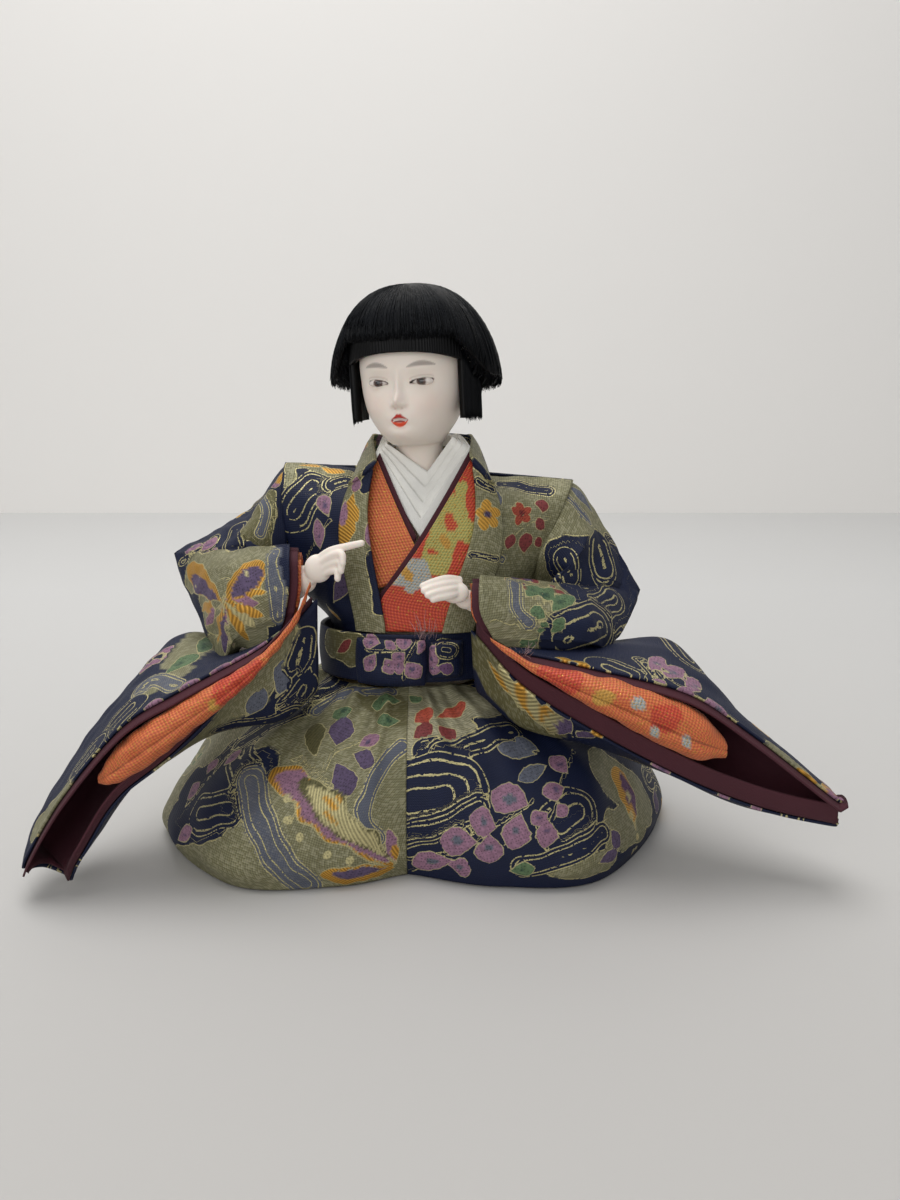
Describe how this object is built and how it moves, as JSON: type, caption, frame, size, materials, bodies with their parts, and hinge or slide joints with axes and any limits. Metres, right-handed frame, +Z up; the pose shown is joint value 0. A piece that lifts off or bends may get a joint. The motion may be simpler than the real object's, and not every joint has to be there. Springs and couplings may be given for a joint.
{
  "type": "hina doll",
  "caption": "Seated festival doll of a child musician with bobbed hair, layered collars, a brocade robe with wide hanging sleeves and gathered trousers.",
  "frame": {"origin": "middle of the base board's underside, on the surface that the doll sits on", "axes": "+Z up, the doll faces -Y, +X towards the right side of the front view"},
  "size_m": [0.2591, 0.1176, 0.1889],
  "materials": {
    "skin": "smooth matt white coat over a moulded head and hands",
    "eye_glass": "polished dark eye",
    "hair_silk": "combed black silk thread, soft sheen",
    "white_silk": "fine plain weave, matt",
    "wine_cloth": "plain lining cloth, matt",
    "orange_brocade": "woven brocade with gold thread",
    "robe_brocade": "woven brocade of navy, sage, mauve and gold thread",
    "hakama_brocade": "woven brocade of navy, sage, mauve and gold thread",
    "wood": "plain unpainted wood",
    "stuffing": "straw and paper stuffing",
    "steel_wire": "drawn wire"
  },
  "bodies": {
    "root": {"base_board": "wood", "leg_stuffing_left": "stuffing", "leg_stuffing_right": "stuffing", "trouser_leg_left": "hakama_brocade", "trouser_leg_right": "hakama_brocade", "waist_band": "hakama_brocade", "bow_loop_left": "hakama_brocade", "bow_loop_right": "hakama_brocade", "torso_core": "stuffing", "arm_core_left": "stuffing", "arm_core_right": "stuffing", "wrist_wire_left": "steel_wire", "wrist_wire_right": "steel_wire", "neck_peg": "wood", "hand_left": "skin", "hand_right": "skin", "head": "skin", "eye_left": "eye_glass", "eye_right": "eye_glass", "hair_crown": "hair_silk", "hair_fringe_under": "hair_silk", "hair_lock_left": "hair_silk", "hair_lock_right": "hair_silk", "white_collar_1": "white_silk", "white_collar_2": "white_silk", "white_collar_3": "white_silk", "white_collar_4": "white_silk", "wine_collar_left": "wine_cloth", "wine_collar_right": "wine_cloth", "under_collar_left": "orange_brocade", "under_collar_right": "orange_brocade", "robe_collar": "robe_brocade", "robe_front_left": "robe_brocade", "robe_front_right": "robe_brocade", "robe_back": "robe_brocade", "arm_sleeve_left": "robe_brocade", "arm_sleeve_right": "robe_brocade", "cuff_lining_left": "wine_cloth", "cuff_lining_right": "wine_cloth", "cuff_under_left": "orange_brocade", "cuff_under_right": "orange_brocade", "sleeve_bag_left": "robe_brocade", "sleeve_bag_right": "robe_brocade", "bag_lining_left": "wine_cloth", "bag_lining_right": "wine_cloth", "inner_sleeve_left": "orange_brocade", "inner_sleeve_right": "orange_brocade"}
  },
  "joints": []
}
